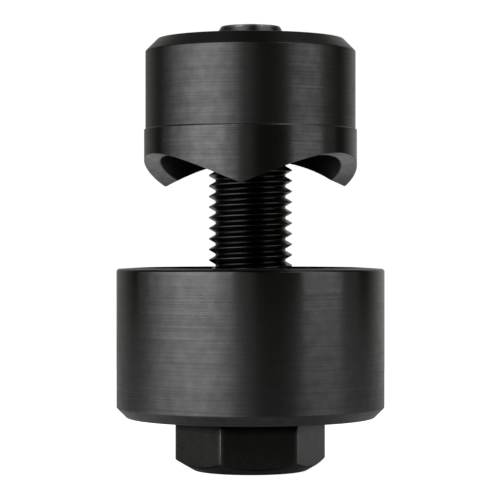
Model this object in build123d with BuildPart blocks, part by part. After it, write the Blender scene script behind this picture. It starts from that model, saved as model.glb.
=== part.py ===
from build123d import *
import os
from math import cos, radians, sin, sqrt, tan

# Screw-driven knockout punch in black-oxide steel.
# The draw bolt stands upright on its hex head. The die rests on the head with its mouth upward,
# and the punch is screwed onto the bolt above it, teeth downward. Sheet metal goes between the
# two, and turning the bolt draws the punch through it and into the die.
# Millimetres. +Z runs up the bolt, the origin is the centre of the head's outer face, and two
# flats of the head are square to Y. The fine screw thread is left plain, at its outer diameter.

# Hole that the tool cuts, and the fits between its pieces
hole_diameter = 30.2
shear_clearance = 0.10
thread_clearance = 0.08
bolt_hole_clearance = 0.40

# Draw bolt
screw_diameter = 11.8
across_flats = 18.6
head_height = 7.5
head_face_inset = 1.3
head_chamfer_angle = 30.0
washer_face_height = 0.4
washer_face_inset = 0.5
tip_taper_height = 3.1
tip_taper_angle = 29.0
tip_protrusion = 1.75

# Die
die_height = 21.2
die_wall = 3.8
die_floor = 6.0
die_foot_chamfer = 1.4
die_rim_land = 0.5
die_rim_relief = 0.2
die_rim_chamfer = 0.25
die_corner_radius = 0.8

# Punch
opening_gap = 11.7
punch_height = 20.7
punch_wall = 2.4
web_thickness = 10.3
cutting_ring_height = 7.8
body_relief = 0.2
top_chamfer = 1.75
bore_countersink = 0.6
punch_corner_chamfer = 0.6

# Teeth of the punch, each a radial edge between two hollow-ground notches
tooth_count = 3
tooth_land = 0.3
notch_radius = 26.5
notch_rise_angle = 6.0
first_tooth_heading = -102.0

# Radii and heights worked out from the sizes above
punch_radius = hole_diameter / 2
punch_cavity_radius = punch_radius - punch_wall
punch_body_radius = punch_radius - body_relief
die_cavity_radius = punch_radius + shear_clearance
die_radius = die_cavity_radius + die_wall
screw_radius = screw_diameter / 2
punch_bore_radius = screw_radius + thread_clearance
die_hole_radius = screw_radius + bolt_hole_clearance
die_floor_height = head_height + die_floor
die_top = head_height + die_height
die_rim_edge = die_top - die_rim_relief
tooth_tip_height = die_top + opening_gap
cutting_ring_top = tooth_tip_height + cutting_ring_height
punch_top = tooth_tip_height + punch_height
punch_cavity_roof = punch_top - web_thickness
bolt_top = punch_top + tip_protrusion

# Draw bolt: a hex prism trimmed to a turned blank, which chamfers its corners at the outer face,
# a washer face under it, and the shank with its tapered tip
head_corner_radius = across_flats / 2 / cos(radians(30))
head_face_radius = across_flats / 2 - head_face_inset
head_chamfer_height = (head_corner_radius - head_face_radius) * tan(radians(head_chamfer_angle))
hex_top = head_height - washer_face_height
tip_radius = screw_radius - tip_taper_height * tan(radians(tip_taper_angle))

with BuildPart() as draw_bolt:
    with BuildSketch(Plane.XY):
        RegularPolygon(across_flats / 2, 6, major_radius=False)
    extrude(amount=hex_top)
    with BuildSketch(Plane.XZ):
        with BuildLine():
            Polyline(
                (0, 0),
                (head_face_radius, 0),
                (head_corner_radius, head_chamfer_height),
                (head_corner_radius, hex_top),
                (0, hex_top),
                close=True,
            )
        make_face()
    revolve(axis=Axis.Z, mode=Mode.INTERSECT)
    with BuildSketch(Plane.XY.offset(hex_top)):
        Circle(across_flats / 2 - washer_face_inset)
    extrude(amount=washer_face_height)
    with BuildSketch(Plane.XZ):
        with BuildLine():
            Polyline(
                (0, hex_top),
                (screw_radius, hex_top),
                (screw_radius, bolt_top - tip_taper_height),
                (tip_radius, bolt_top),
                (0, bolt_top),
                close=True,
            )
        make_face()
    revolve(axis=Axis.Z)
draw_bolt.part.label = "draw_bolt"

# Die: a turned cup whose mouth is the lower cutting edge, with a clearance hole for the bolt.
# Its rim has a narrow flat land round the mouth and falls off a little outside it, so that the
# sheet bears on the cutting edge.
with BuildPart() as die:
    with BuildSketch(Plane.XZ):
        with BuildLine():
            Polyline(
                (die_hole_radius, head_height),
                (die_radius - die_foot_chamfer, head_height),
                (die_radius, head_height + die_foot_chamfer),
                (die_radius, die_rim_edge),
                (die_cavity_radius + die_rim_land, die_top),
                (die_cavity_radius, die_top),
                (die_cavity_radius, die_floor_height),
                (die_hole_radius, die_floor_height),
                close=True,
            )
        make_face()
        fillet(vertices().sort_by_distance((die_cavity_radius, die_floor_height))[0], die_corner_radius)
        chamfer(vertices().sort_by_distance((die_radius, die_rim_edge))[0], die_rim_chamfer)
    revolve(axis=Axis.Z)
die.part.label = "die"

# Punch: a turned cup with its mouth down and a thick web for the screw thread. The ring round
# its mouth stands proud of the body, so that only the ring rubs in the hole.
with BuildPart() as punch:
    with BuildSketch(Plane.XZ):
        with BuildLine():
            Polyline(
                (punch_bore_radius, punch_cavity_roof),
                (punch_cavity_radius, punch_cavity_roof),
                (punch_cavity_radius, tooth_tip_height),
                (punch_radius, tooth_tip_height),
                (punch_radius, cutting_ring_top),
                (punch_body_radius, cutting_ring_top + body_relief),
                (punch_body_radius, punch_top - top_chamfer),
                (punch_body_radius - top_chamfer, punch_top),
                (punch_bore_radius, punch_top),
                close=True,
            )
        make_face()
        corner = (punch_cavity_radius, punch_cavity_roof)
        chamfer(vertices().sort_by_distance(corner)[0], punch_corner_chamfer)
        chamfer(vertices().group_by(Axis.X)[0], bore_countersink)
    revolve(axis=Axis.Z)

    # Between two teeth the rim is hollow-ground by a round wheel that runs outward from the axis
    # and rises a little as it goes. Two such notches meet in a tooth, a radial edge that is
    # lowest at the outside of the wall, where it keeps a small flat land.
    half_pitch = radians(180 / tooth_count)
    notch_rise = radians(notch_rise_angle)
    land_angle = half_pitch - tooth_land / 2 / punch_radius
    land_along = punch_radius * cos(land_angle)
    land_across = punch_radius * sin(land_angle)
    notch_drop = notch_radius - sqrt(notch_radius**2 - land_across**2)
    notch_crest = tooth_tip_height + notch_drop / cos(notch_rise) - land_along * tan(notch_rise)
    for tooth in range(tooth_count):
        heading = radians(first_tooth_heading) + (2 * tooth + 1) * half_pitch
        outward = Vector(cos(heading), sin(heading), 0)
        across = Vector(-sin(heading), cos(heading), 0)
        along = outward * cos(notch_rise) + Vector(0, 0, sin(notch_rise))
        with BuildSketch(Plane((0, 0, notch_crest), x_dir=across, z_dir=along)):
            with Locations((0, -notch_radius)):
                Circle(notch_radius)
        extrude(amount=2 * punch_radius, mode=Mode.SUBTRACT)
punch.part.label = "punch"

os.makedirs("parts", exist_ok=True)
export_step(draw_bolt.part, "parts/draw_bolt.step")
export_step(die.part, "parts/die.step")
export_step(punch.part, "parts/punch.step")
print(f"tip of the bolt at {bolt_top:.2f} mm, tips of the teeth at {tooth_tip_height:.2f} mm")
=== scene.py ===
# %% [markdown]
# # A knockout punch in black-oxide steel
# This tool cuts round holes in sheet metal. It has three pieces: a draw bolt that stands on its
# hex head, a cup-shaped die that rests on the head with its mouth up, and a toothed punch that
# is screwed onto the bolt above it. Turning the bolt draws the punch through the sheet and into
# the die.
#
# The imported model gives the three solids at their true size. This lesson builds a finer skin
# for each of them, with rounded edges and a real screw thread, and gives them their finish.
# The frame comes first, because every size that follows is measured from it.

# %% Load the frame
import math

import bmesh
import bpy
import numpy as np
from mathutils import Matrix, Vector


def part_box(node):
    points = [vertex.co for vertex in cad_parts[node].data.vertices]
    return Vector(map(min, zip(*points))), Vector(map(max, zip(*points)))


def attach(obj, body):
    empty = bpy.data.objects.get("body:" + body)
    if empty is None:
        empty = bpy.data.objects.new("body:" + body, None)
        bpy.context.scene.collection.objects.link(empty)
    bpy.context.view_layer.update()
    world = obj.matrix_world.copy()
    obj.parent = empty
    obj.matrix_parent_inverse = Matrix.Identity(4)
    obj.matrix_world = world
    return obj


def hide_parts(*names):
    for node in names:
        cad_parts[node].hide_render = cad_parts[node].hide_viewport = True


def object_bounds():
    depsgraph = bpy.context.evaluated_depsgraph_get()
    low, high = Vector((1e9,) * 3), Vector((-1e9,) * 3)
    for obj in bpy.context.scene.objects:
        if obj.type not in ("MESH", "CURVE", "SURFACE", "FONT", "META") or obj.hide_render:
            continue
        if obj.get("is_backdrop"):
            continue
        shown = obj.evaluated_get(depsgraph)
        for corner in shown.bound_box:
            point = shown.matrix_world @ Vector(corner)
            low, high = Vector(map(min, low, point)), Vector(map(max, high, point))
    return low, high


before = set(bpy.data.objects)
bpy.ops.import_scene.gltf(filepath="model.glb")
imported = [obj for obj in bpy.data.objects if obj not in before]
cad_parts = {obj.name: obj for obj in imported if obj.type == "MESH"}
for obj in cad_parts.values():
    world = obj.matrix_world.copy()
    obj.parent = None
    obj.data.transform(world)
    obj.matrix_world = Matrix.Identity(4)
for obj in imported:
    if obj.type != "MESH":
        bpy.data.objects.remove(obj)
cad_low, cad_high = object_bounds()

mm = 0.001

# %% [markdown]
# ## Sizes
# The outer sizes of the three pieces are read from the boxes of their solids, so that the skins
# can't drift away from them. What a box can't tell, such as the depth of a cup or the width of
# a chamfer, is a named value in millimetres.

# %% Outer sizes from the frame
die_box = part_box("die")
punch_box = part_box("punch")
bolt_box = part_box("draw_bolt")

die_radius, die_bottom, die_top = die_box[1].x, die_box[0].z, die_box[1].z
punch_radius, tooth_tips, punch_top = punch_box[1].x, punch_box[0].z, punch_box[1].z
hex_apothem, bolt_top = bolt_box[1].y, bolt_box[1].z
print(f"across: die {2 * die_radius / mm:.1f} mm, punch {2 * punch_radius / mm:.1f} mm")

# %% Inner sizes
die_cavity_radius = die_radius - 3.8 * mm
die_floor = die_bottom + 6.0 * mm
die_hole_radius = 6.3 * mm
die_foot_chamfer = 1.4 * mm
die_rim_land = 0.5 * mm
die_rim_relief = 0.2 * mm
die_rim_chamfer = 0.25 * mm

punch_cavity_radius = punch_radius - 2.4 * mm
punch_roof = punch_top - 10.3 * mm
punch_body_radius = punch_radius - 0.2 * mm
cutting_ring_top = tooth_tips + 7.8 * mm
cutting_ring_step = 0.2 * mm
punch_top_chamfer = 1.75 * mm
countersink_radius = 6.58 * mm

screw_radius = 5.9 * mm
thread_pitch = 1.5 * mm
head_height = die_bottom
hex_top = head_height - 0.4 * mm
head_face_radius = hex_apothem - 1.3 * mm
head_chamfer_slope = math.tan(math.radians(30))
washer_face_radius = hex_apothem - 0.5 * mm
tip_radius = 4.18 * mm
tip_slope = math.tan(math.radians(29))
die_depth, punch_depth = die_top - die_floor, punch_roof - tooth_tips
print(f"cups: die {die_depth / mm:.1f} mm deep, punch {punch_depth / mm:.1f} mm deep")

# %% [markdown]
# ## A profile with rounded edges
# A lathe makes a sharp corner only on paper. A real edge is broken by a tenth of a millimetre
# or so, and that small round is what catches a thin line of light. A Bevel modifier could round
# the edges too, but each size would be a weight laid on its edges, and one short edge can hold
# back all the others. Here the profile is rounded before it is turned: each corner is a station
# with a radius, a height and a rounding, and the rounding is a quadratic curve between two points.
#
# A station may hold one number for each column round the axis. That lets the same function
# make the hex head and the toothed edge of the punch, whose profile changes as it goes round.

# %% Profile rows
edge_steps = 5


def profile_rows(stations, columns, closed=False):
    """Rows of (radius, height) for every column, with each corner of the profile rounded.

    A station is (radius, height, rounding). A corner C with rounding d becomes the curve
    (1-t)^2 A + 2 (1-t) t C + t^2 B, where A and B lie at distance d from C, towards the
    stations before and after it.
    """
    each_column = np.zeros(columns)
    corners = np.array(
        [(radius + each_column, height + each_column) for radius, height, _ in stations]
    ).transpose(0, 2, 1)
    t = np.linspace(0, 1, edge_steps + 1)[:, None, None]
    rows = []
    for place, (_, _, rounding) in enumerate(stations):
        corner = corners[place]
        if not rounding:
            rows.append(corner[None])
            continue
        sides = [corners[place - 1] - corner, corners[(place + 1) % len(corners)] - corner]
        start, end = (
            corner + rounding * side / np.linalg.norm(side, axis=1)[:, None] for side in sides
        )
        rows.append((1 - t) ** 2 * start + 2 * (1 - t) * t * corner + t**2 * end)
    if closed:
        rows.append(rows[0][:1])
    return np.concatenate(rows)


# %% [markdown]
# ## From rows to a closed mesh
# A turned surface has two parameters: how far along the profile, and the angle round the axis.
# The grid of points goes into the mesh as whole arrays. Grids that share an edge are merged by
# distance, which also closes the seam at a full turn and the pole where a row shrinks to the
# axis.
#
# A material will want to know how each spot was finished and where light or shade is painted
# on it, so every point carries three numbers. lathe is 1 on turned faces and 0 on ground or
# forged ones. tone makes the colour lighter or darker: it makes the ground teeth lighter, and
# elsewhere it paints shade, such as inside a cup, as well as highlights. haze is added to the
# roughness.
#
# Smooth shading alone would smear light across the broad faces. The Weighted Normal modifier
# lets the large faces set the normals, so that they stay flat and only the small rounds bend.

# %% Grids and meshes
merge_distance = 0.0001 * mm
sharp_angle = math.radians(38)


def turned(rows, angles):
    """Points (r cos a, r sin a, z) for rows of (r, z), one angle for each column."""
    radius, height = rows[..., 0], rows[..., 1]
    x, y = radius * np.cos(angles), radius * np.sin(angles)
    return np.stack(np.broadcast_arrays(x, y, height), -1)


def grid_faces(rows, columns, first):
    """Four corners for each cell of a grid whose points are numbered row by row from first."""
    number = first + np.arange(rows * columns).reshape(rows, columns)
    corners = [number[:-1, :-1], number[:-1, 1:], number[1:, 1:], number[1:, :-1]]
    return np.stack(corners, -1).reshape(-1, 4)


usual_finish = {"lathe": 1.0, "tone": 1.0, "haze": 0.0}


def build_piece(name, grids, body, material):
    """One closed mesh from grids of points, each with its finish and painted light where they
    differ.
    """
    points = np.concatenate([grid.reshape(-1, 3) for grid, _ in grids])
    firsts = np.cumsum([0] + [grid[..., 0].size for grid, _ in grids])
    faces = np.concatenate(
        [grid_faces(*grid.shape[:2], first) for (grid, _), first in zip(grids, firsts)]
    )
    mesh = bpy.data.meshes.new(name)
    mesh.from_pydata(points, [], faces)
    for mark, usual in usual_finish.items():
        values = [
            np.broadcast_to(finish.get(mark, usual), grid.shape[:2]).ravel()
            for grid, finish in grids
        ]
        attribute = mesh.attributes.new(mark, "FLOAT", "POINT")
        attribute.data.foreach_set("value", np.concatenate(values).astype(np.float32))

    shell = bmesh.new()
    shell.from_mesh(mesh)
    bmesh.ops.remove_doubles(shell, verts=shell.verts, dist=merge_distance)
    bmesh.ops.recalc_face_normals(shell, faces=shell.faces)
    open_edges = sum(len(edge.link_faces) != 2 for edge in shell.edges)
    volume = shell.calc_volume(signed=True)
    shell.to_mesh(mesh)
    shell.free()

    mesh.shade_smooth()
    mesh.set_sharp_from_angle(angle=sharp_angle)
    mesh.materials.append(material)
    piece = bpy.data.objects.new(name, mesh)
    bpy.context.scene.collection.objects.link(piece)
    even = piece.modifiers.new("even shading", "WEIGHTED_NORMAL")
    even.keep_sharp = True
    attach(piece, body)
    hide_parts(body)
    triangles = sum(len(face.vertices) - 2 for face in mesh.polygons)
    print(f"{name}: {triangles} triangles, {open_edges} open edges, {volume / mm**3:.0f} cubic mm")


# %% [markdown]
# ## The finish: black oxide over turned steel
# Black oxide is a conversion layer about a thousandth of a millimetre thick. It hides nothing:
# every tool mark of the steel stays, only dark, and the oil on it gives a satin sheen. Looked
# at closely, the walls carry the spiral that the lathe tool left, fine streaks a few tenths of a
# millimetre apart, which run round the axis, and here and there a single brighter scratch.
#
# An image of streaks would need an unwrapped surface. A noise that is stretched along the rings
# needs only the object's own coordinates: x and y change slowly, while the height and the
# distance from the axis change fast. On a wall the height makes the streaks, and on a flat face
# the distance from the axis makes rings of them, with no seam between the two.
#
# The shader is a dark metal, so that the streaks can sit in its colour, its roughness and a
# slight bump. Turned steel also scatters light across its marks more than along them, so the
# highlight is drawn out by a constant anisotropy. Its tangent is laid round the axis, and a
# quarter turn draws the highlight out across the marks.

# %% Helpers for nodes
def add_node(tree, kind, inputs=None, **settings):
    """Adds a node and fills its inputs with plain values or with other nodes' outputs."""
    made = tree.nodes.new(kind)
    for setting, value in settings.items():
        setattr(made, setting, value)
    for socket, value in (inputs or {}).items():
        if isinstance(value, bpy.types.NodeSocket):
            tree.links.new(value, made.inputs[socket])
        else:
            made.inputs[socket].default_value = value
    return made


def maths(tree, operation, *values):
    """The result of a Math node."""
    return add_node(tree, "ShaderNodeMath", dict(enumerate(values)), operation=operation).outputs[0]


def vector_maths(tree, operation, *vectors, gives="Vector"):
    """The result of a Vector Math node, which is a Value for a length or a dot product."""
    return add_node(
        tree, "ShaderNodeVectorMath", dict(enumerate(vectors)), operation=operation
    ).outputs[gives]


def blend(tree, factor, start, end):
    """From start to end as the factor goes from 0 to 1."""
    return add_node(
        tree, "ShaderNodeMix", {"Factor": factor, "A": start, "B": end}, data_type="FLOAT"
    ).outputs["Result"]


# %% The black oxide material
streak_gap, streak_length = 0.16 * mm, 20 * mm
scratch_gap, scratch_length = 0.35 * mm, 30 * mm
scratch_start, scratch_full, scratch_strength = 0.62, 0.70, 0.25
grain_size = 0.35 * mm
patch_size, patch_share = 1.5 * mm, 0.42
darkest_mark, lightest_mark = 0.34, 0.66
roughness_change = 0.09
anisotropy, quarter_turn = 0.5, 0.25


def ring_direction(tree, place):
    """The direction round the axis, (-y, x, 0), turned with the piece."""
    parts = add_node(tree, "ShaderNodeSeparateXYZ", {0: place})
    minus_y = maths(tree, "MULTIPLY", parts.outputs["Y"], -1.0)
    round_axis = add_node(tree, "ShaderNodeCombineXYZ", {"X": minus_y, "Y": parts.outputs["X"]})
    return add_node(
        tree,
        "ShaderNodeVectorTransform",
        {0: round_axis.outputs[0]},
        vector_type="VECTOR",
        convert_from="OBJECT",
        convert_to="WORLD",
    ).outputs[0]


def ring_noise(tree, place, gap, length):
    """Noise that changes over gap across the rings and over length along them."""
    across, along = 1 / gap, 1 / length
    sideways = vector_maths(tree, "MULTIPLY", place, (1.0, 1.0, 0.0))
    radius = vector_maths(tree, "LENGTH", sideways, gives="Value")
    out = maths(tree, "MULTIPLY", radius, across)
    stretched = vector_maths(tree, "MULTIPLY", place, (along, along, across))
    return add_node(
        tree,
        "ShaderNodeTexNoise",
        {"Vector": stretched, "W": out, "Scale": 1.0, "Detail": 2.0},
        noise_dimensions="4D",
    ).outputs["Fac"]


def even_noise(tree, place, size, detail):
    """Noise that changes over the same size in every direction."""
    return add_node(
        tree, "ShaderNodeTexNoise", {"Vector": place, "Scale": 1 / size, "Detail": detail}
    ).outputs["Fac"]


def black_oxide(name, dark, light, roughness, streak_depth, grain_depth):
    """Dark satin metal with turned streaks where the lathe attribute is 1, and grain where 0.

    dark and light are the colours of the hollows and the ridges of those marks.
    """
    material = bpy.data.materials.new(name)
    material.use_nodes = True
    tree = material.node_tree
    tree.nodes.clear()
    place = add_node(tree, "ShaderNodeTexCoord").outputs["Object"]
    lathe, tone, haze = (
        add_node(tree, "ShaderNodeAttribute", attribute_name=mark).outputs["Fac"]
        for mark in usual_finish
    )

    scratches = add_node(
        tree,
        "ShaderNodeMapRange",
        {
            "Value": ring_noise(tree, place, scratch_gap, scratch_length),
            "From Min": scratch_start,
            "From Max": scratch_full,
            "To Max": scratch_strength,
        },
    ).outputs[0]
    streaks = maths(tree, "ADD", ring_noise(tree, place, streak_gap, streak_length), scratches)
    marks = blend(tree, lathe, even_noise(tree, place, grain_size, detail=3.0), streaks)
    patches = even_noise(tree, place, patch_size, detail=2.0)
    shade = blend(tree, patch_share, marks, patches)

    spread = add_node(
        tree,
        "ShaderNodeMapRange",
        {"Value": shade, "From Min": darkest_mark, "From Max": lightest_mark},
    ).outputs[0]
    colour = add_node(
        tree,
        "ShaderNodeMix",
        {"Factor": spread, "A": (*dark, 1), "B": (*light, 1)},
        data_type="RGBA",
    ).outputs["Result"]
    toned = add_node(
        tree, "ShaderNodeVectorMath", {0: colour, "Scale": tone}, operation="SCALE"
    ).outputs[0]
    gloss = maths(tree, "MULTIPLY_ADD", spread, -roughness_change, roughness + roughness_change / 2)
    hazy = maths(tree, "ADD", gloss, haze)
    height = maths(tree, "MULTIPLY", marks, blend(tree, lathe, grain_depth, streak_depth))
    relief = add_node(
        tree, "ShaderNodeBump", {"Height": height, "Strength": 1.0, "Distance": 1.0}
    ).outputs[0]
    steel = add_node(
        tree,
        "ShaderNodeBsdfPrincipled",
        {
            "Metallic": 1.0,
            "Base Color": toned,
            "Roughness": hazy,
            "Normal": relief,
            "Anisotropic": anisotropy,
            "Anisotropic Rotation": quarter_turn,
            "Tangent": ring_direction(tree, place),
        },
    )
    add_node(tree, "ShaderNodeOutputMaterial", {"Surface": steel.outputs[0]})
    return material


turned_black = black_oxide(
    "turned_black_oxide",
    dark=(0.079, 0.079, 0.080),
    light=(0.125, 0.125, 0.127),
    roughness=0.31,
    streak_depth=0.0035 * mm,
    grain_depth=0.002 * mm,
)
bolt_black = black_oxide(
    "oiled_black_oxide",
    dark=(0.043, 0.0425, 0.0405),
    light=(0.064, 0.0635, 0.0615),
    roughness=0.24,
    streak_depth=0.001 * mm,
    grain_depth=0.0007 * mm,
)
print("materials:", turned_black.name, bolt_black.name)

# %% [markdown]
# ## The die
# The die is a cup turned from bar: a wall, a floor with a clearance hole for the bolt, a sharp
# inner edge at the mouth that does the cutting, and a broad chamfer at the foot. It is a closed
# profile turned once round the axis. The rim is flat only next to the mouth. Outside that narrow
# land it is a very flat cone, which falls off towards a small chamfer. The cutting edge keeps
# almost no rounding.
#
# The wall is smoother near the rim, where sheets have rubbed it, than at the foot, and its colour
# is painted lighter towards the rim as painted light. The rim itself is dull and dark at the
# cutting edge and gets smoother outwards. The chamfer round the rim's outer edge is painted dark
# as a painted shadow, and the inside of the cup is painted almost black as painted shade.

# %% Finish of the die
# Painted light and shade: the inside of the cup is painted almost black as painted shade, the
# chamfer round the rim's outer edge is painted dark as a painted shadow, and the wall is painted
# lighter towards the rim as painted light.
cavity_painted_shade, cavity_haze = 0.05, 0.2
wall_top_painted_light, wall_foot_painted_light = 1.1, 0.98
wall_top_haze, wall_foot_haze = -0.09, 0.08
rim_inner_tone, rim_outer_tone, rim_chamfer_painted_shadow = 0.25, 0.85, 0.4
rim_inner_haze, rim_outer_haze = 0.34, 0.04


def fade(start, end, share):
    """From start to end in a straight line, as the share goes from 0 to 1."""
    return start + (end - start) * share


# %% Build the die
lathe_columns = 240
full_turn = np.linspace(0, 2 * math.pi, lathe_columns + 1)
rim_edge = die_top - die_rim_relief
rim_fall = math.atan2(die_rim_relief, die_radius - die_cavity_radius - die_rim_land)
die_stations = [
    (die_hole_radius, die_bottom, 0.3 * mm),
    (die_radius - die_foot_chamfer, die_bottom, 0.12 * mm),
    (die_radius, die_bottom + die_foot_chamfer, 0.12 * mm),
    (die_radius, rim_edge - die_rim_chamfer, 0.1 * mm),
    (
        die_radius - die_rim_chamfer * math.cos(rim_fall),
        rim_edge + die_rim_chamfer * math.sin(rim_fall),
        0.08 * mm,
    ),
    (die_cavity_radius + die_rim_land, die_top, 0.05 * mm),
    (die_cavity_radius, die_top, 0.03 * mm),
    (die_cavity_radius, die_floor, 1.0 * mm),
    (die_hole_radius, die_floor, 0.3 * mm),
]
die_rows = profile_rows(die_stations, len(full_turn), closed=True)
die_out, die_up = die_rows[:, :1, 0], die_rows[:, :1, 1]
on_edge = (die_out > die_radius - die_rim_chamfer) & (die_up > rim_edge - die_rim_chamfer)
in_cup = (die_out <= die_cavity_radius) & (die_up > die_bottom)
on_rim = die_up > rim_edge
rim_share = np.clip((die_out - die_cavity_radius) / (die_radius - die_cavity_radius), 0, 1)
down_share = (die_top - die_up) / (die_top - die_bottom)
die_finish_and_painted_light = {
    "tone": np.select(
        [on_edge, in_cup, on_rim],
        [rim_chamfer_painted_shadow, cavity_painted_shade, fade(rim_inner_tone, rim_outer_tone, rim_share)],
        fade(wall_top_painted_light, wall_foot_painted_light, down_share),
    ),
    "haze": np.select(
        [in_cup, on_rim],
        [cavity_haze, fade(rim_inner_haze, rim_outer_haze, rim_share)],
        fade(wall_top_haze, wall_foot_haze, down_share),
    ),
}
die_grids = [(turned(die_rows, full_turn), die_finish_and_painted_light)]
build_piece("die_skin", die_grids, "die", turned_black)
print(f"die: its rim falls off by {math.degrees(rim_fall):.1f} degrees outside the land")

# %% [markdown]
# ## The screw thread
# A thread is a profile wound up a helix. A Screw modifier would wind it too, but its ends would
# stay open and it couldn't taper into the bolt's pointed tip. Here each row of the grid follows
# the helix at one phase of the profile, so that the crests and roots are clean lines of points.
#
# A helix doesn't start on a level ring. The gap between the level ring and the first row is a
# wedge, as high as nothing at the start of the turn and a whole pitch at its end, and a second
# wedge closes the top. Inside a wedge the rows fan out from the level ring to the helix.
#
# The punch has the matching thread inside. Both are worked out from the same helix, with a
# twentieth of a millimetre between the flanks, so they stay in mesh as the bolt turns.

# %% Thread profile and helix
thread_crest = 0.53 * mm
crest_share = 1 / 20
flank_slope = math.sqrt(3)


def soft_floor(value, width):
    """Zero below -width, value above +width, and the parabola (value+width)^2 / 4 width between."""
    parabola = (np.clip(value, -width, width) + width) ** 2 / (4 * width)
    return np.where(value > width, value, parabola)


def thread_radius(phase, root, crest, gap, softness):
    """Radius at a phase, counted in pitches from the middle of the screw's crest.

    The flank is the line r = screw radius + (crest_share - |phase|) pitch sqrt(3) + gap, which
    makes 60 degrees between two flanks. It is cut off softly at the root and at the crest.
    """
    away = np.abs((phase + 0.5) % 1 - 0.5)
    flank = screw_radius + (crest_share - away) * thread_pitch * flank_slope + gap
    risen = root + soft_floor(flank - root, softness)
    return crest - soft_floor(crest - risen, softness)


def thread_phases(root, crest, gap, softness, start):
    """Phases from start to start + 1, with points where the profile bends, as shares of a turn."""
    bends = []
    for level in (root, crest):
        middle = crest_share + (screw_radius + gap - level) / (thread_pitch * flank_slope)
        reach = softness / (thread_pitch * flank_slope)
        bends += [middle - reach, middle, middle + reach]
    bends = np.clip(bends, 0, 0.5)
    wanted = np.concatenate([bends, -bends, [0, 0.5]]) - start
    return np.unique(np.round(np.concatenate([[0, 1], wanted % 1]), 6))


def helix_grids(base, pitches, columns, root, crest, gap, softness, limit):
    """The thread's grids from the level ring at base to the one that many pitches above it.

    The height is base + level * pitch. With turn going from 0 to 1 round the axis, the level is
    share * turn in the lower wedge, whole steps and shares + turn on the helix, and goes from
    last + turn to last + 1 in the upper wedge. limit(radius, height) trims the thread, such as
    by the cone of a tip or a countersink.
    """
    start = (base - thread_crest) / thread_pitch
    shares = thread_phases(root, crest, gap, softness, start)[:, None]
    turn = columns[None] / (2 * math.pi)
    last = pitches - 1.0
    whole = np.concatenate([shares[:-1] + step for step in range(pitches - 1)] + [[[last]]])
    levels = [shares * turn, whole + turn, last + turn + shares * (1 - turn)]
    grids = []
    for level in levels:
        height = base + level * thread_pitch
        radius = thread_radius(start + level - turn, root, crest, gap, softness)
        grids.append(turned(np.stack([limit(radius, height), height], -1), columns))
    return grids


# %% [markdown]
# ## The draw bolt
# The bolt is one piece from its hex head to its tip. The head's outer face has the usual cone
# chamfer, which trims the six corners and leaves a curved edge on each flat. Taken column by
# column it is still a plain profile: only the distance to the hexagon changes with the angle.
# The columns crowd together at the six corners, so that their small round stays smooth. A low
# round face on top of the hex carries the die.
#
# The corners of the hex carry a painted highlight, and its chamfer a painted reflection, both
# lighter than the flats. The last millimetre under the die is painted dark, as the die's painted
# shadow. The cone of the tip is dull, and its colour is painted much lighter as a painted
# highlight.

# %% Outline of the hex head
hex_corner_rounding = 0.22 * mm
sixth = math.pi / 3
corner_centre = (hex_apothem - hex_corner_rounding) / math.cos(sixth / 2)
corner_half_angle = math.atan2(
    hex_corner_rounding * math.sin(sixth / 2),
    corner_centre + hex_corner_rounding * math.cos(sixth / 2),
)


def hex_distance(angles):
    """Distance from the axis to a hexagon with rounded corners, the first corner at angle 0.

    On a flat it is apothem / cos(angle from the middle of the flat). Near a corner it is the
    far side of a small circle whose centre lies on the corner's own line.
    """
    off_corner = np.abs((angles + sixth / 2) % sixth - sixth / 2)
    flat = hex_apothem / np.cos(sixth / 2 - off_corner)
    inside = np.maximum(hex_corner_rounding**2 - (corner_centre * np.sin(off_corner)) ** 2, 0)
    round_corner = corner_centre * np.cos(off_corner) + np.sqrt(inside)
    return np.where(off_corner < corner_half_angle, round_corner, flat)


bolt_columns = 120
even_angles = np.linspace(0, 2 * math.pi, bolt_columns + 1)
near_corner = np.array([-1, -0.6, 0.6, 1]) * corner_half_angle
corner_angles = (np.arange(6)[:, None] * sixth + near_corner) % (2 * math.pi)
bolt_angles = np.unique(np.round(np.concatenate([even_angles, corner_angles.ravel()]), 9))
outline = hex_distance(bolt_angles)
across_flats, across_corners = 2 * hex_apothem / mm, 2 * outline.max() / mm
print(f"hex head: {across_flats:.1f} mm across flats, {across_corners:.1f} mm across corners")

# %% Thread and tip of the bolt
tip_edge_height = 0.25 * mm
thread_top = bolt_top - tip_edge_height
bolt_pitches = 35
thread_base = thread_top - bolt_pitches * thread_pitch
thread_root = screw_radius - 0.92 * mm
bolt_softness = 0.04 * mm
run_out = 2 * thread_pitch
cone_start = bolt_top - (screw_radius - tip_radius) / tip_slope
# Painted light and shade: the thread is painted dark in its roots as painted shade and lighter on
# its crests as a painted highlight, and the cone of the tip is painted much lighter as a painted
# highlight.
root_painted_shade, crest_painted_highlight = 0.4, 1.15
tip_haze_and_painted_highlight = {"tone": 5.4, "haze": 0.1}


def bolt_limit(radius, height):
    """The thread runs out to the plain shank near the head, and the cone of the tip trims it.

    Over the run-out its depth grows with the smooth step s^2 (3 - 2 s), and the cone's radius is
    tip radius + (top of the bolt - height) * slope.
    """
    share = np.clip((height - thread_base) / run_out, 0, 1)
    faded = screw_radius + (radius - screw_radius) * share**2 * (3 - 2 * share)
    return np.minimum(faded, tip_radius + (bolt_top - height) * tip_slope)


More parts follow.
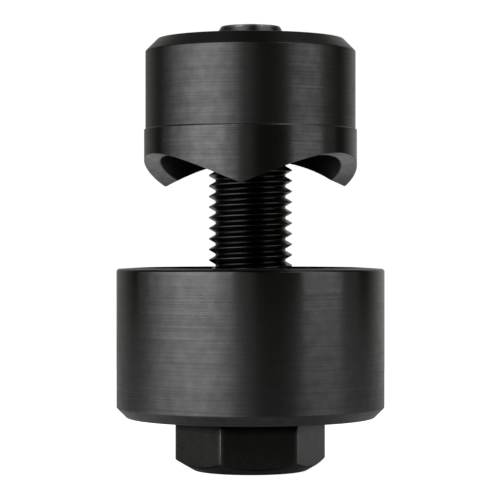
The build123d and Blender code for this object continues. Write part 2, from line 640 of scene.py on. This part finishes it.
def thread_finish_and_painted_light(points):
    """The tone rises with the square of the way from root to crest, and up the cone of the tip.
    This paints shade in the roots, and highlights on the crests and the tip.
    """
    out = np.linalg.norm(points[..., :2], axis=-1)
    share = np.clip((out - thread_root) / (screw_radius - thread_root), 0, 1)
    on_tip = np.clip((points[..., 2] - cone_start) / (bolt_top - cone_start), 0, 1)
    tone = fade(root_painted_shade, crest_painted_highlight, share**2) * fade(1, tip_haze_and_painted_highlight["tone"], on_tip)
    return {"tone": tone, "haze": tip_haze_and_painted_highlight["haze"] * on_tip}


bolt_threads = helix_grids(
    thread_base,
    bolt_pitches,
    bolt_angles,
    root=thread_root,
    crest=screw_radius,
    gap=0.0,
    softness=bolt_softness,
    limit=bolt_limit,
)
print(f"bolt thread: from {thread_base / mm:.2f} to {thread_top / mm:.2f} mm")

# %% Build the draw bolt
# Painted light and shade: the last millimetre under the die is painted dark as the die's shadow,
# the corners of the hex carry a painted highlight, and the head's chamfer a painted reflection.
shadow_start, shadow_full, under_die_painted_shadow = 1.5 * mm, 0.4 * mm, 0.06
corner_painted_highlight, head_chamfer_painted_reflection = 2.2, 2.8
flats_start, flats_end = 0.3 * mm, hex_top - 0.1 * mm
edge_margin = 0.05 * mm
inner_face_radius = head_face_radius * 0.9
chamfer_top = (outline - head_face_radius) * head_chamfer_slope

head_stations = [
    (0, 0, 0),
    (inner_face_radius, 0, 0),
    (head_face_radius, 0, 0.15 * mm),
    (outline, chamfer_top, 0.2 * mm),
    (outline, hex_top - shadow_start, 0),
    (outline, hex_top - shadow_full, 0),
    (outline, hex_top, 0.12 * mm),
    (washer_face_radius, hex_top, 0.05 * mm),
    (washer_face_radius, head_height, 0.1 * mm),
    (screw_radius, head_height, 0.4 * mm),
    (screw_radius, thread_base, 0),
]
tip_stations = [
    (tip_radius + tip_edge_height * tip_slope, thread_top, 0),
    (tip_radius, bolt_top, 0.07 * mm),
    (0, bolt_top, 0),
]
head_rows = profile_rows(head_stations, len(bolt_angles))
tip_rows = profile_rows(tip_stations, len(bolt_angles))
head_out, head_up = head_rows[..., 0], head_rows[..., 1]
on_flats = (head_up > flats_start) & (head_up < flats_end)
on_chamfer = (head_up < chamfer_top - edge_margin) & (head_out > head_face_radius - 2 * edge_margin)
under_die = (head_up > hex_top - shadow_full - merge_distance) & (head_up < head_height)
at_corner = outline[None] > hex_distance(corner_half_angle) - merge_distance
head_finish_and_painted_light = {
    "lathe": 1 - on_flats.mean(1)[:, None],
    "tone": np.select(
        [on_chamfer, under_die, at_corner], [head_chamfer_painted_reflection, under_die_painted_shadow, corner_painted_highlight], 1.0
    ),
}
bolt_grids = [
    (turned(head_rows, bolt_angles), head_finish_and_painted_light),
    (turned(tip_rows, bolt_angles), tip_haze_and_painted_highlight),
    *[(points, thread_finish_and_painted_light(points)) for points in bolt_threads],
]
build_piece("draw_bolt_skin", bolt_grids, "draw_bolt", bolt_black)

# %% [markdown]
# ## The punch
# The punch is a cup with its mouth down. Its three teeth are what remains between three hollow
# notches, each ground by a round wheel that runs outward from the axis and rises a little as it
# goes. Cutting them with a Boolean would leave long thin faces and a ragged edge. The ground
# surface has a formula instead, so the height of the cup's lower edge is worked out for every
# angle and distance from the axis, and the rest of the profile just ends there.
#
# Over a notch, let t be the distance sideways from its middle line and rho the distance along
# it. The wheel leaves part of a cylinder, whose height is rho tan(rise) less the drop of its
# circle at t. Two such surfaces meet in a tooth. Its edge lies on a radius and is lowest at the
# outside of the wall, where a small land is left.
#
# The fresh grinding left the teeth brighter than the rest. The cutting ring has run smooth in
# the holes that it cut, and the body above it hasn't. The cup is rough and painted almost black
# as painted shade, and the chamfer at the top is painted dark as painted shade too.

# %% Height of the ground teeth
tooth_count = 3
tooth_land = 0.3 * mm
notch_radius = 26.5 * mm
notch_rise = math.radians(6)
first_tooth = math.radians(-102)
half_pitch = math.pi / tooth_count
land_half_angle = tooth_land / 2 / punch_radius


def notch_height(radius, off_notch):
    """Height rho tan(rise) - (R - sqrt(R^2 - t^2)) / cos(rise) of the wheel's cylinder."""
    along, sideways = radius * np.cos(off_notch), radius * np.sin(off_notch)
    drop = notch_radius - np.sqrt(notch_radius**2 - sideways**2)
    return along * math.tan(notch_rise) - drop / math.cos(notch_rise)


def ground_height(radius, angles):
    """Height of the ground teeth at a distance and an angle round the axis.

    It is tips + height in the notch - height at the edge of the land, and never below the tips.
    """
    off_notch = (angles - first_tooth) % (2 * half_pitch) - half_pitch
    at_land = notch_height(punch_radius, half_pitch - land_half_angle)
    return np.maximum(tooth_tips + notch_height(radius, off_notch) - at_land, tooth_tips)


near_ridge = land_half_angle * np.array([-2, -1, 0, 1, 2])
ridges = first_tooth + np.arange(tooth_count)[:, None] * 2 * half_pitch
ridge_angles = (ridges + near_ridge).ravel() % (2 * math.pi)
punch_angles = np.unique(np.round(np.concatenate([full_turn, ridge_angles]), 9))
notch_top = ground_height(punch_radius, punch_angles).max()
print(f"teeth: tips at {tooth_tips / mm:.2f} mm, tops of the notches at {notch_top / mm:.2f} mm")

# %% Thread of the punch
nut_pitches = 6
nut_base = (punch_roof + punch_top - nut_pitches * thread_pitch) / 2
nut_minor, nut_major = 5.19 * mm, 6.0 * mm
nut_gap = 0.1 * mm
nut_softness = 0.05 * mm


def nut_limit(radius, height):
    """Two countersinks of 45 degrees open the bore at both ends.

    Their radius is the countersink's own, less the way in from the nearer end.
    """
    nearest = np.minimum(height - punch_roof, punch_top - height)
    return np.maximum(radius, countersink_radius - nearest)


nut_threads = helix_grids(
    nut_base,
    nut_pitches,
    punch_angles,
    root=nut_minor,
    crest=nut_major,
    gap=nut_gap,
    softness=nut_softness,
    limit=nut_limit,
)
lowest_ring, highest_ring = nut_threads[0][0], nut_threads[-1][-1]
print(f"punch thread: {nut_pitches} turns, from {nut_base / mm:.2f} mm")

# %% Build the punch
# Painted shade: the chamfer at the top and the cup with its thread are painted dark.
punch_tone, punch_chamfer_painted_shade, ground_tone = 0.9, 0.34, 2.7
body_haze, ring_haze, ground_haze = 0.03, -0.05, 0.0
ground_steps = 8
ground_radii = np.linspace(punch_cavity_radius, punch_radius, ground_steps + 1)[1:-1]
punch_stations = [
    (np.linalg.norm(lowest_ring[:, :2], axis=1), lowest_ring[:, 2], 0),
    (countersink_radius, punch_roof, 0.08 * mm),
    (punch_cavity_radius, punch_roof, 0.8 * mm),
    (punch_cavity_radius, ground_height(punch_cavity_radius, punch_angles), 0.04 * mm),
    *[(radius, ground_height(radius, punch_angles), 0) for radius in ground_radii],
    (punch_radius, ground_height(punch_radius, punch_angles), 0.04 * mm),
    (punch_radius, cutting_ring_top, 0.05 * mm),
    (punch_body_radius, cutting_ring_top + cutting_ring_step, 0.05 * mm),
    (punch_body_radius, punch_top - punch_top_chamfer, 0.15 * mm),
    (punch_body_radius - punch_top_chamfer, punch_top, 0.15 * mm),
    (countersink_radius, punch_top, 0.08 * mm),
    (np.linalg.norm(highest_ring[:, :2], axis=1), highest_ring[:, 2], 0),
]
punch_rows = profile_rows(punch_stations, len(punch_angles))
punch_out, punch_up = punch_rows[:, :1, 0], punch_rows[:, :1, 1]
row_number = np.arange(len(punch_rows))[:, None]
# The cavity has three rounded corners, and the ground faces follow it.
last_in_cavity = 3 * (edge_steps + 1)
in_cavity = (row_number > 0) & (row_number <= last_in_cavity)
is_ground = (row_number > last_in_cavity) & (row_number <= last_in_cavity + ground_steps)
on_body = punch_up > cutting_ring_top
on_top_chamfer = (
    (punch_up > punch_top - punch_top_chamfer)
    & (punch_out >= punch_body_radius - punch_top_chamfer)
    & ~in_cavity
)
punch_finish_and_painted_shade = {
    "lathe": 1.0 - is_ground,
    "tone": np.select(
        [on_top_chamfer, in_cavity, is_ground],
        [punch_chamfer_painted_shade, cavity_painted_shade, ground_tone],
        punch_tone,
    ),
    "haze": np.select(
        [in_cavity, is_ground, on_body], [cavity_haze, ground_haze, body_haze], ring_haze
    ),
}
punch_grids = [
    (turned(punch_rows, punch_angles), punch_finish_and_painted_shade),
    *[(points, {"tone": cavity_painted_shade}) for points in nut_threads],
]
build_piece("punch_skin", punch_grids, "punch", turned_black)

# %% [markdown]
# ## Where the light comes from
# Black metal shows little but what it mirrors, so the light is arranged by where its reflection
# should fall. Every direction in the studio is told by its azimuth, counted from the camera to
# its right. On an upright cylinder, a wall that is turned by some angle away from the camera
# mirrors what lies at twice that angle.

# %% Directions round the tool
view_azimuth = math.radians(-7.2)


def way_to(azimuth, rise=0):
    """The direction (cos e sin a, -cos e cos a, sin e), with the rise e above the level.

    The turn a is the camera's own azimuth plus the one that is counted from the camera.
    """
    turn, rise = view_azimuth + math.radians(azimuth), math.radians(rise)
    return math.cos(rise) * math.sin(turn), -math.cos(rise) * math.cos(turn), math.sin(rise)


def soft_step(tree, value, start, end, low, high):
    """From low to high, easing in and out, as the value goes from start to end."""
    return add_node(
        tree,
        "ShaderNodeMapRange",
        {"Value": value, "From Min": start, "From Max": end, "To Min": low, "To Max": high},
        interpolation_type="SMOOTHSTEP",
    ).outputs[0]


def closeness(tree, way, azimuth, far, near, low, high, rise=0):
    """From low to high as a direction comes from far degrees to near degrees of another."""
    facing = vector_maths(tree, "DOT_PRODUCT", way, way_to(azimuth, rise), gives="Value")
    start, end = math.cos(math.radians(far)), math.cos(math.radians(near))
    return soft_step(tree, facing, start, end, low, high)


print("the camera looks along", [round(-value, 3) for value in way_to(0)])

# %% [markdown]
# ## The floor
# The tool stands on a pale floor in a white studio. The floor is a plain disc. For the camera it
# gives off light of its own, so that it runs into the white background without any seam.
#
# The teeth and the chamfer at the die's foot look down, so they mirror the floor. For mirrored
# rays the floor shows a glow of its own and none of its paint. The glow is white below the large
# panel and dim on the other sides. It is dim close round the tool too, where the die keeps the
# light off, and dimmest in front of the tool and right under it.

# %% Build the floor
floor_radius = 250 * mm
floor_rings, floor_columns = 5, 96
rings = np.linspace(0, floor_radius, floor_rings + 1)[:, None]
floor_angles = np.linspace(0, 2 * math.pi, floor_columns + 1)
floor_points = turned(np.stack(np.broadcast_arrays(rings, 0 * floor_angles), -1), floor_angles)
floor_faces = grid_faces(*floor_points.shape[:2], 0)[:, ::-1]
floor_mesh = bpy.data.meshes.new("floor")
floor_mesh.from_pydata(floor_points.reshape(-1, 3), [], floor_faces)
floor = bpy.data.objects.new("floor", floor_mesh)
bpy.context.scene.collection.objects.link(floor)
floor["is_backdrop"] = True
print(f"floor: {2 * floor_radius:.2f} m across")

# %% The pale floor material
floor_paint = 0.9
camera_glow = 0.95
die_reach = (22 * mm, 36 * mm)
foot_reach, glow_under_foot = (9 * mm, 15 * mm), 0.22

paper = bpy.data.materials.new("pale_floor")
paper.use_nodes = True
tree = paper.node_tree
tree.nodes.clear()
ray = add_node(tree, "ShaderNodeLightPath")
place = add_node(tree, "ShaderNodeTexCoord").outputs["Object"]
outwards = vector_maths(tree, "NORMALIZE", place)
distance = vector_maths(tree, "LENGTH", place, gives="Value")
below_panel = closeness(tree, outwards, azimuth=-42, far=52, near=20, low=0.38, high=1.0)
not_in_front = closeness(tree, outwards, azimuth=12, far=34, near=8, low=1.0, high=0.3)
far_glow = maths(tree, "MULTIPLY", below_panel, not_in_front)
near_glow = closeness(tree, outwards, azimuth=5, far=75, near=30, low=0.34, high=0.2)
clear_of_die = soft_step(tree, distance, *die_reach, 0.0, 1.0)
clear_of_foot = soft_step(tree, distance, *foot_reach, glow_under_foot, 1.0)
around = blend(tree, clear_of_die, near_glow, far_glow)
mirrored_glow = maths(tree, "MULTIPLY", around, clear_of_foot)
glossy_glow = maths(tree, "MULTIPLY", mirrored_glow, ray.outputs["Is Glossy Ray"])
strength = maths(tree, "MULTIPLY_ADD", ray.outputs["Is Camera Ray"], camera_glow, glossy_glow)
pale = maths(tree, "MULTIPLY_ADD", ray.outputs["Is Glossy Ray"], -floor_paint, floor_paint)
matt = add_node(tree, "ShaderNodeBsdfDiffuse", {"Color": pale})
glow = add_node(tree, "ShaderNodeEmission", {"Strength": strength})
both = add_node(tree, "ShaderNodeAddShader", {0: matt.outputs[0], 1: glow.outputs[0]})
add_node(tree, "ShaderNodeOutputMaterial", {"Surface": both.outputs[0]})
floor_mesh.materials.append(paper)
print(f"floor paint: {floor_paint}, and a glow of {camera_glow} for the camera")

# %% [markdown]
# ## The world
# The world is white for the camera. For mirrored rays it is pale behind the tool, more so on the
# right than on the left, which draws a thin line of light down both edges of the dark metal. A
# dim patch high up behind the tool shows on the flat tops, seen from above. All round there is a
# little warm light, as from a room, which keeps the tool's front from going quite black.

# %% Build the world
room_light = 0.029
room_colour = (1.0, 0.9, 0.5, 1)
left_backdrop_light = 0.2
right_backdrop_light = 0.38
high_backdrop_light = 0.24

world = bpy.data.worlds.new("studio")
bpy.context.scene.world = world
world.use_nodes = True
tree = world.node_tree
tree.nodes.clear()
ray = add_node(tree, "ShaderNodeLightPath")
way = add_node(tree, "ShaderNodeTexCoord").outputs["Generated"]
left_glow = closeness(tree, way, azimuth=-168, far=54, near=20, low=0.0, high=left_backdrop_light)
right_glow = closeness(tree, way, azimuth=165, far=50, near=8, low=0.0, high=right_backdrop_light)
high_glow = closeness(
    tree, way, azimuth=180, rise=46, far=40, near=14, low=0.0, high=high_backdrop_light
)
backdrop = maths(tree, "ADD", maths(tree, "MAXIMUM", left_glow, right_glow), high_glow)
strength = maths(
    tree, "MULTIPLY_ADD", ray.outputs["Is Glossy Ray"], backdrop, ray.outputs["Is Camera Ray"]
)
white = add_node(tree, "ShaderNodeBackground", {"Color": (1, 1, 1, 1), "Strength": strength})
room = add_node(tree, "ShaderNodeBackground", {"Color": room_colour, "Strength": room_light})
sky = add_node(tree, "ShaderNodeAddShader", {0: white.outputs[0], 1: room.outputs[0]})
add_node(tree, "ShaderNodeOutputWorld", {"Surface": sky.outputs[0]})
print(f"world: {room_light} all round, up to {right_backdrop_light} more behind the tool")

# %% [markdown]
# ## Panels of light
# The broad highlight to the left of the middle is a large panel well round to the left. It fades
# in steps towards the edge of the tool and towards its middle, so dimmer panels stand in a row on
# either side of the first, edge to edge. The highlight on the right is a panel further round,
# with a dimmer one behind it. Only a very dim panel stands in front of the tool, and so its
# front stays dark. All of these stand upright on the level of the floor.
#
# The cone at the bolt's tip looks up and mirrors none of them. Two panels high above the others
# draw the two bright stripes on it.

# %% Build the panels
panel_distance = 600 * mm
tool_middle = (cad_low + cad_high) / 2


def light_panel(name, left, right, low, high, brightness):
    """An upright rectangular lamp that faces the tool.

    left and right are the azimuths of its side edges, counted from the camera to its right, and
    low and high are the angles of its other two edges above the tool's level. A lamp of power P
    and area A has a brightness of P / (pi A).
    """
    azimuth = (left + right) / 2
    lower_edge = panel_distance * math.tan(math.radians(low))
    upper_edge = panel_distance * math.tan(math.radians(high))
    lamp = bpy.data.lights.new(name, "AREA")
    lamp.shape = "RECTANGLE"
    lamp.size = 2 * panel_distance * math.tan(math.radians((right - left) / 2))
    lamp.size_y = upper_edge - lower_edge
    lamp.energy = brightness * math.pi * lamp.size * lamp.size_y
    panel = bpy.data.objects.new(name, lamp)
    bpy.context.scene.collection.objects.link(panel)
    raised = Vector((0, 0, (lower_edge + upper_edge) / 2))
    panel.location = tool_middle + panel_distance * Vector(way_to(azimuth)) + raised
    panel.rotation_euler = (math.pi / 2, 0, view_azimuth + math.radians(azimuth))
    panel.visible_camera = False
    print(f"{name}: {lamp.size:.2f} x {lamp.size_y:.2f} m, {lamp.energy:.2f} W")


beside_tool, above_tool = (-3, 34), (42, 69)
for name, left, right, (low, high), brightness in (
    ("left_rim_panel", -108, -94, beside_tool, 0.28),
    ("left_side_panel", -94, -80, beside_tool, 0.88),
    ("left_outer_panel", -80, -66, beside_tool, 1.5),
    ("left_panel", -66, -29, beside_tool, 2.2),
    ("left_inner_panel", -29, -15, beside_tool, 1.2),
    ("front_panel", -15, 3, beside_tool, 0.16),
    ("right_panel", 44, 82, beside_tool, 0.94),
    ("right_side_panel", 82, 103, beside_tool, 0.15),
    ("left_high_panel", -84, -14, above_tool, 1.6),
    ("right_high_panel", 38, 104, above_tool, 1.35),
):
    light_panel(name, left, right, low, high, brightness)

# %% [markdown]
# ## The camera
# The tool was seen from far away with a long lens, almost level with its middle, and a little
# to the left of square on to the head's front flat. The numbers come from where its edges lie:
# the rims of die and punch are ellipses, and how round each is tells its height above or below
# the lens.

# %% Build the camera
image_pixels = 500
focal_pixels = 2200
axis_pixels_right_of_centre = 0.5
horizon_pixels_above_centre = 6.5
camera_distance = 312.4 * mm
camera_height = 32.1 * mm

lens = bpy.data.cameras.new("camera")
lens.sensor_width = 36
lens.lens = lens.sensor_width * focal_pixels / image_pixels
camera = bpy.data.objects.new("camera", lens)
bpy.context.scene.collection.objects.link(camera)
camera.location = (
    camera_distance * math.sin(view_azimuth),
    -camera_distance * math.cos(view_azimuth),
    camera_height,
)
tilt = math.atan(horizon_pixels_above_centre / focal_pixels)
pan = math.atan(axis_pixels_right_of_centre / focal_pixels)
camera.rotation_euler = (math.pi / 2 - tilt, 0, view_azimuth + pan)
bpy.context.scene.camera = camera
bpy.context.scene.view_settings.view_transform = "Standard"

# %% [markdown]
# ## The boxes
# The skins have to stay inside the box of the solids that they stand for. Both boxes are
# printed, so that they can be compared.

# %% Write the sizes
skin_low, skin_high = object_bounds()
sizes = {
    "cad": [list(cad_low), list(cad_high)],
    "visual": [list(skin_low), list(skin_high)],
}
for name, box in sizes.items():
    print(f"{name} box in mm:", [[round(value / mm, 3) for value in corner] for corner in box])
